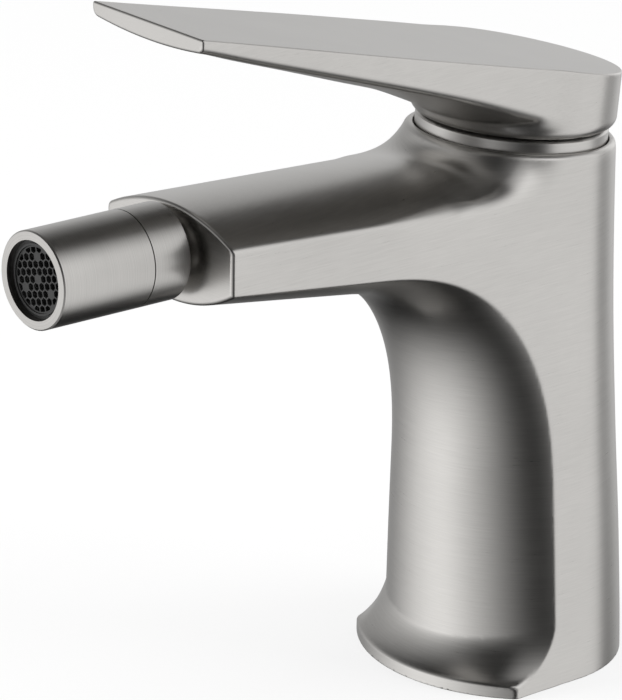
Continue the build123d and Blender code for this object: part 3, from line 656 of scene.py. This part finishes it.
def add_camera():
    """The camera of the photo, which looks down at the front right."""
    azimuth, elevation, roll = (radians(v) for v in (CAMERA_AZIMUTH, CAMERA_ELEVATION, CAMERA_ROLL))
    back = Vector((sin(azimuth) * cos(elevation), -cos(azimuth) * cos(elevation), sin(elevation)))
    right = Vector((cos(azimuth), sin(azimuth), 0))
    up = back.cross(right)
    across = cos(roll) * right + sin(roll) * up
    above = cos(roll) * up - sin(roll) * right
    data = bpy.data.cameras.new("camera")
    data.sensor_width = SENSOR
    data.lens = FOCAL_PIXELS * SENSOR / IMAGE_HEIGHT_PIXELS
    data.clip_start = CLIP_START
    data.clip_end = CLIP_END
    camera = bpy.data.objects.new("camera", data)
    place = -CAMERA_ACROSS * across - CAMERA_UP * above + CAMERA_DISTANCE * back
    turn = Matrix((across, above, back)).transposed().to_4x4()
    camera.matrix_world = Matrix.Translation(place * MM) @ turn
    link(camera)
    bpy.context.scene.camera = camera


def node_in(tree, kind, **settings):
    """A node of a kind, with its settings; names of sockets are given with words joined by _."""
    node = tree.nodes.new(kind)
    for key, value in settings.items():
        if hasattr(node, key):
            setattr(node, key, value)
        else:
            node.inputs[key.replace("_", " ")].default_value = value
    return node


def new_material(name):
    """A material with a plain Principled shader, its tree and the shader."""
    material = bpy.data.materials.new(name)
    material.use_nodes = True
    tree = material.node_tree
    return material, tree, tree.nodes["Principled BSDF"]


def straight_lines(tree, place, scale):
    """Coordinates that are stretched along one direction."""
    mapping = node_in(tree, "ShaderNodeMapping")
    mapping.inputs["Scale"].default_value = scale
    tree.links.new(place, mapping.inputs["Vector"])
    return mapping.outputs["Vector"]


def turned_lines(tree, place, centre, axis):
    """Coordinates by the distance from an axis and along it, so that lines run round it."""
    offset = node_in(tree, "ShaderNodeVectorMath", operation="SUBTRACT")
    offset.inputs[1].default_value = centre
    tree.links.new(place, offset.inputs[0])
    along = node_in(tree, "ShaderNodeVectorMath", operation="DOT_PRODUCT")
    across = node_in(tree, "ShaderNodeVectorMath", operation="CROSS_PRODUCT")
    for product in (along, across):
        tree.links.new(offset.outputs["Vector"], product.inputs[0])
        product.inputs[1].default_value = axis
    radius = node_in(tree, "ShaderNodeVectorMath", operation="LENGTH")
    tree.links.new(across.outputs["Vector"], radius.inputs[0])
    joined = node_in(tree, "ShaderNodeCombineXYZ")
    tree.links.new(radius.outputs["Value"], joined.inputs["X"])
    tree.links.new(along.outputs["Value"], joined.inputs["Y"])
    finer = node_in(tree, "ShaderNodeVectorMath", operation="SCALE")
    finer.inputs["Scale"].default_value = LINES_ACROSS
    tree.links.new(joined.outputs["Vector"], finer.inputs[0])
    return finer.outputs["Vector"]


def noise_in(tree, place, scale, detail, grain):
    """Noise at coordinates, from 0 to 1."""
    noise = node_in(tree, "ShaderNodeTexNoise", Scale=scale, Detail=detail, Roughness=grain)
    tree.links.new(place, noise.inputs["Vector"])
    return noise.outputs["Fac"]


def coloured(tree, shader, shade, colour, dark_share, shares=(0, 1)):
    """A colour that varies with a shade."""
    ramp = node_in(tree, "ShaderNodeValToRGB")
    for stop, position, strength in zip(ramp.color_ramp.elements, shares, (dark_share, 1)):
        stop.position = position
        stop.color = (*(value * strength for value in colour), 1)
    tree.links.new(shade, ramp.inputs["Fac"])
    tree.links.new(ramp.outputs["Color"], shader.inputs["Base Color"])


def roughened(tree, shader, shade, roughness, spread):
    """A roughness that varies with a shade."""
    limits = node_in(tree, "ShaderNodeMapRange")
    limits.inputs["To Min"].default_value = roughness - spread
    limits.inputs["To Max"].default_value = roughness + spread
    tree.links.new(shade, limits.inputs["Value"])
    tree.links.new(limits.outputs["Result"], shader.inputs["Roughness"])


def bumped(tree, shader, shade, strength):
    """A surface that rises and falls with a shade."""
    bump = node_in(tree, "ShaderNodeBump", Strength=strength, Distance=BUMP_DEPTH)
    tree.links.new(shade, bump.inputs["Height"])
    tree.links.new(bump.outputs["Normal"], shader.inputs["Normal"])


def brushed(name, run, colour=METAL, dark_share=DARK_SHARE, roughness=BRUSHED_ROUGHNESS):
    """Brushed metal. Its run is a scale for straight lines, or the centre and axis of turned ones."""
    material, tree, shader = new_material(name)
    shader.inputs["Metallic"].default_value = 1
    place = node_in(tree, "ShaderNodeTexCoord").outputs["Object"]
    if len(run) == 2:
        across = turned_lines(tree, place, *run)
    else:
        across = straight_lines(tree, place, run)
    lines = noise_in(tree, across, 1, LINE_DETAIL, LINE_GRAIN_SHARE)
    clouds = noise_in(tree, place, CLOUDS, CLOUD_DETAIL, CLOUD_GRAIN_SHARE)
    shade = node_in(tree, "ShaderNodeMix", data_type="FLOAT")
    shade.inputs["Factor"].default_value = CLOUD_SHARE
    tree.links.new(lines, shade.inputs["A"])
    tree.links.new(clouds, shade.inputs["B"])
    coloured(tree, shader, shade.outputs["Result"], colour, dark_share, RAMP_SHARES)
    roughened(tree, shader, lines, roughness, ROUGHNESS_SPREAD)
    bumped(tree, shader, lines, LINE_BUMP_SHARE)
    return material


def moulded(name, colour, roughness, grains):
    """Plastic, rubber or ceramic, with a soft grain."""
    material, tree, shader = new_material(name)
    place = node_in(tree, "ShaderNodeTexCoord").outputs["Object"]
    shade = noise_in(tree, place, grains, LINE_DETAIL, CLOUD_GRAIN_SHARE)
    coloured(tree, shader, shade, colour, MOULDED_DARK_SHARE)
    roughened(tree, shader, shade, roughness, MOULDED_SPREAD)
    bumped(tree, shader, shade, MOULDED_BUMP_SHARE)
    return material


def all_finishes():
    """A material for each of the record's slots."""
    level_lines = (LINES_ALONG, LINES_ALONG, LINES_ACROSS)
    long_lines = (LINES_ACROSS, LINES_ALONG, LINES_ACROSS)
    head_lines = (head_centre * MM, head_up)
    nozzle_lines = (ball_centre * MM, nozzle_out)
    finishes = {
        "body_finish": brushed("body_finish", level_lines),
        "handle_finish": brushed("handle_finish", long_lines),
        "collar_finish": brushed("collar_finish", head_lines),
        "nozzle_finish": brushed("nozzle_finish", nozzle_lines, METAL, NOZZLE_DARK_SHARE),
        "plated_brass": brushed("plated_brass", nozzle_lines, PLATED, DARK_SHARE, POLISHED_ROUGHNESS),
        "brass": brushed("brass", head_lines, BRASS),
        "steel": brushed("steel", head_lines, STEEL),
    }
    for name, values in MOULDED.items():
        finishes[name] = moulded(name, *values)
    return finishes


def dress(piece, material):
    """Give a piece one material."""
    piece.data.materials.clear()
    piece.data.materials.append(material)


def shown_rays(tree):
    """1 for rays from the camera, from gloss and through glass, and 0 for the rest."""
    path = node_in(tree, "ShaderNodeLightPath")
    shown = path.outputs["Is Camera Ray"]
    for kind in ("Is Glossy Ray", "Is Transmission Ray"):
        larger = node_in(tree, "ShaderNodeMath", operation="MAXIMUM")
        tree.links.new(shown, larger.inputs[0])
        tree.links.new(path.outputs[kind], larger.inputs[1])
        shown = larger.outputs[0]
    return shown


def set_world():
    """A plain pale light from all round, in front of a white background."""
    world = bpy.data.worlds.new("studio")
    bpy.context.scene.world = world
    world.use_nodes = True
    tree = world.node_tree
    ground = tree.nodes["Background"]
    ground.inputs["Color"].default_value = (1, 1, 1, 1)
    strength = node_in(tree, "ShaderNodeMapRange")
    strength.inputs["To Min"].default_value = WORLD_LIGHT
    strength.inputs["To Max"].default_value = 1
    tree.links.new(shown_rays(tree), strength.inputs["Value"])
    tree.links.new(strength.outputs["Result"], ground.inputs["Strength"])


def add_light(name, azimuth, elevation, distance, width, height, power):
    """A soft light that faces the object."""
    turn, lift = radians(azimuth), radians(elevation)
    away = Vector((sin(turn) * cos(lift), -cos(turn) * cos(lift), sin(lift)))
    data = bpy.data.lights.new(name, "AREA")
    data.shape = "RECTANGLE"
    data.size = width
    data.size_y = height
    data.energy = power
    light = bpy.data.objects.new(name, data)
    light.visible_glossy = False
    light.location = Vector((0, 0, LIGHT_AIM)) + away * distance
    light.rotation_euler = away.to_track_quat("Z", "Y").to_euler()
    link(light)


def turned_away(turn, centre):
    """Degrees from a centre, the short way round."""
    return (turn - centre + 180) % 360 - 180


def lobe(value, centre, half):
    """1 at the centre, falling smoothly to 0 at half a width from it."""
    return (1 + np.cos(np.pi * np.clip(np.abs(value - centre) / half, 0, 1))) / 2


def band(value, low, high, soft):
    """1 between low and high, with soft ends half outside them."""
    return ease(value, low - soft / 2, low + soft / 2) * (1 - ease(value, high - soft / 2, high + soft / 2))


def tent_glow(turn, lift):
    """How bright the light tent is, by its azimuth and elevation in degrees."""
    glow = np.full(turn.shape, TENT_DARK)
    for centre, half, level, level_half, strength in TENT_LOBES:
        glow += strength * lobe(turned_away(turn, centre), 0, half) * lobe(lift, level, level_half)
    for centre, half, soft, low, high, level_soft, strength in TENT_BANDS:
        across = band(turned_away(turn, centre), -half, half, soft)
        glow += strength * across * band(lift, low, high, level_soft)
    return glow


def tent_mesh():
    """A sphere of rings and two poles, with its glow as an attribute."""
    turns = np.arange(0, 360, TENT_STEP, float)
    lifts = np.arange(-90 + TENT_STEP, 90, TENT_STEP, float)
    turn, lift = (grid.ravel() for grid in np.meshgrid(turns, lifts))
    turn = np.append(turn, [0, 0])
    lift = np.append(lift, [-90, 90])
    azimuth = np.radians(turn)
    elevation = np.radians(lift)
    flat = np.cos(elevation)
    away = np.stack([np.sin(azimuth) * flat, -np.cos(azimuth) * flat, np.sin(elevation)], 1)
    points = away * TENT_RADIUS + np.array([0, 0, LIGHT_AIM])
    count = len(turns)
    faces = []
    for row in range(len(lifts) - 1):
        low, high = row * count, (row + 1) * count
        for place in range(count):
            after = (place + 1) % count
            faces.append((low + place, low + after, high + after, high + place))
    for pole, row in ((len(points) - 2, 0), (len(points) - 1, len(lifts) - 1)):
        faces += [(row * count + place, row * count + (place + 1) % count, pole) for place in range(count)]
    mesh = bpy.data.meshes.new("light_tent")
    mesh.from_pydata(points, [], faces)
    glow = mesh.attributes.new("glow", "FLOAT", "POINT")
    glow.data.foreach_set("value", tent_glow(turn, lift))
    return mesh


def tent_material():
    """Light of the strength that the tent's mesh holds."""
    material = bpy.data.materials.new("light_tent")
    material.use_nodes = True
    tree = material.node_tree
    tree.nodes.clear()
    light = node_in(tree, "ShaderNodeEmission")
    share = node_in(tree, "ShaderNodeAttribute", attribute_name="glow")
    tree.links.new(share.outputs["Fac"], light.inputs["Strength"])
    out = node_in(tree, "ShaderNodeOutputMaterial")
    tree.links.new(light.outputs[0], out.inputs["Surface"])
    return material


def add_tent():
    """A tent of soft boxes and dark cards round the object, which only reflections show."""
    tent = bpy.data.objects.new("light_tent", tent_mesh())
    link(tent)
    tent.visible_camera = False
    tent.visible_diffuse = False
    tent.visible_transmission = False
    tent.visible_shadow = False
    dress(tent, tent_material())


def floor_material():
    """Plain pale floor that shows white around the object's shadow."""
    material, tree, shader = new_material("floor_finish")
    shader.inputs["Base Color"].default_value = (FLOOR_SHADE, FLOOR_SHADE, FLOOR_SHADE, 1)
    shader.inputs["Roughness"].default_value = FLOOR_ROUGHNESS
    shader.inputs["Specular IOR Level"].default_value = FLOOR_GLOSS
    white = node_in(tree, "ShaderNodeEmission", Strength=1.0)
    share = node_in(tree, "ShaderNodeMath", operation="MULTIPLY")
    share.inputs[1].default_value = FLOOR_WHITE_SHARE
    tree.links.new(shown_rays(tree), share.inputs[0])
    mix = node_in(tree, "ShaderNodeMixShader")
    tree.links.new(share.outputs[0], mix.inputs[0])
    tree.links.new(shader.outputs[0], mix.inputs[1])
    tree.links.new(white.outputs[0], mix.inputs[2])
    tree.links.new(mix.outputs[0], tree.nodes["Material Output"].inputs["Surface"])
    return material


def add_floor():
    """The floor, which reflections don't show."""
    form = bmesh.new()
    bmesh.ops.create_grid(form, x_segments=2, y_segments=2, size=FLOOR_HALF)
    mesh = bpy.data.meshes.new("floor")
    form.to_mesh(mesh)
    form.free()
    floor = bpy.data.objects.new("floor", mesh)
    link(floor)
    dress(floor, floor_material())
    floor.visible_glossy = False


add_camera()

body = mesh_of(
    "body_skin",
    body_field,
    (-BASE_HALF_WIDTH, -REACH, 0),
    (BASE_HALF_WIDTH, BASE_HALF_WIDTH, SPOUT_EDGE_TOP + SPOUT_ARCH + BODY_ROOM),
    BODY_CELL,
    BODY_SPLITS,
)
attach(body, "body")
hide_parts("body_casting")

handle = mesh_of(
    "handle_skin",
    handle_field,
    (-HUB_RADIUS, -HANDLE_REACH, RIM_HEIGHT),
    (HUB_RADIUS, HUB_RADIUS + HANDLE_ROOM, HANDLE_TOP_HEIGHT + HANDLE_SLOPE * HANDLE_REACH),
    HANDLE_CELL,
    HANDLE_SPLITS,
)
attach(handle, "lever")
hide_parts("lever_handle")

set_world()
for name, values in SOFTBOXES.items():
    add_light(name, *values)
add_tent()
add_floor()

finishes = all_finishes()
for part in frame["record"]["subparts"]:
    dress(nodes[part["node"]], finishes[part["material_slot"]])
dress(body, finishes["body_finish"])
dress(handle, finishes["handle_finish"])

bpy.context.scene.view_settings.view_transform = "Standard"
